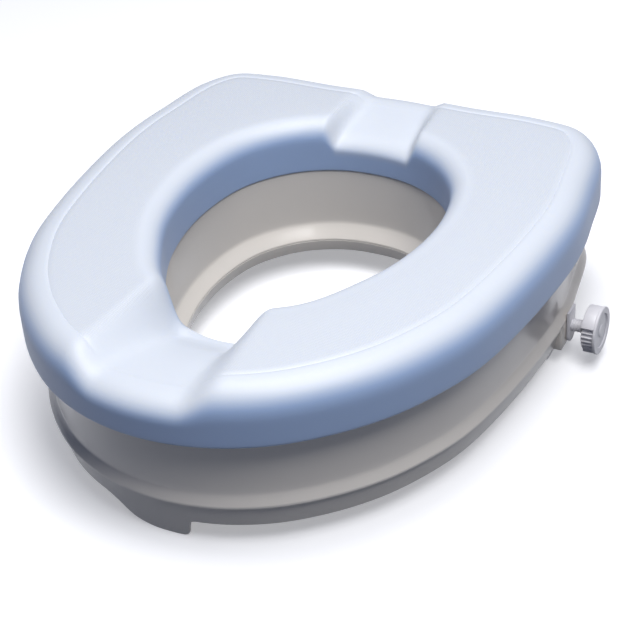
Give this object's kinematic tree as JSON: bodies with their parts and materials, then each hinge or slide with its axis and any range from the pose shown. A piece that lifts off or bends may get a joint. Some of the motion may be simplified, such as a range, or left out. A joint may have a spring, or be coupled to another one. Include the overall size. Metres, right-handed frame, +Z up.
{
  "type": "raised toilet seat",
  "caption": "Padded D-shaped seat with a through hole, on a hollow plastic riser with a screw clamp on each side that grips a toilet bowl's rim.",
  "frame": {"origin": "on the ground below the middle of the seat, level with the undersides of the two jaws and of the front tab", "axes": "+Z up, -Y towards the front of the seat, where the locating tab is, +X to the sitter's left"},
  "size_m": [0.393, 0.413, 0.126],
  "materials": {
    "foam_skin": "satin self-skinned foam, fine moulded grid on the top",
    "board": "raw plywood",
    "white_plastic": "gloss moulded polypropylene",
    "grey_plastic": "satin moulded nylon",
    "steel": "zinc plated",
    "rubber": "matt moulded rubber"
  },
  "bodies": {
    "seat": {"seat_cushion": "foam_skin", "seat_board": "board", "base_shell": "white_plastic", "rim_frame": "white_plastic", "seat_screw_1": "steel", "seat_screw_2": "steel", "seat_screw_3": "steel", "seat_screw_4": "steel", "seat_screw_5": "steel", "seat_screw_6": "steel", "rim_screw_1": "steel", "rim_screw_2": "steel", "rim_screw_3": "steel", "rim_screw_4": "steel", "rim_screw_5": "steel", "rim_screw_6": "steel", "rest_pad_1": "rubber", "rest_pad_2": "rubber", "rest_pad_3": "rubber", "rest_pad_4": "rubber", "right_clamp_strap": "grey_plastic", "right_clamp_nut": "steel", "left_clamp_strap": "grey_plastic", "left_clamp_nut": "steel"},
    "right_jaw_slide": {"right_jaw": "grey_plastic", "right_jaw_pad": "rubber"},
    "right_screw_turn": {"right_clamp_screw": "grey_plastic", "right_hand_wheel": "grey_plastic", "right_screw_clip": "steel"},
    "left_jaw_slide": {"left_jaw": "grey_plastic", "left_jaw_pad": "rubber"},
    "left_screw_turn": {"left_clamp_screw": "grey_plastic", "left_hand_wheel": "grey_plastic", "left_screw_clip": "steel"}
  },
  "joints": [
    {"name": "right_jaw_travel", "type": "slide", "parent": "seat", "child": "right_jaw_slide", "axis": [-1, 0, 0], "range_m": [0, 0.01]},
    {"name": "right_wheel_turn", "type": "hinge", "parent": "right_jaw_slide", "child": "right_screw_turn", "pos_m": [0.1635, 0.085, 0.0265], "axis": [-1, 0, 0], "range_deg": [0, 900]},
    {"name": "left_jaw_travel", "type": "slide", "parent": "seat", "child": "left_jaw_slide", "axis": [1, 0, 0], "range_m": [0, 0.01]},
    {"name": "left_wheel_turn", "type": "hinge", "parent": "left_jaw_slide", "child": "left_screw_turn", "pos_m": [-0.1635, 0.085, 0.0265], "axis": [1, 0, 0], "range_deg": [0, 900]}
  ],
  "couplings": [
    {"joint": "right_jaw_travel", "follows": "right_wheel_turn", "m_per_rad": 0.00063662},
    {"joint": "left_jaw_travel", "follows": "left_wheel_turn", "m_per_rad": 0.00063662}
  ]
}
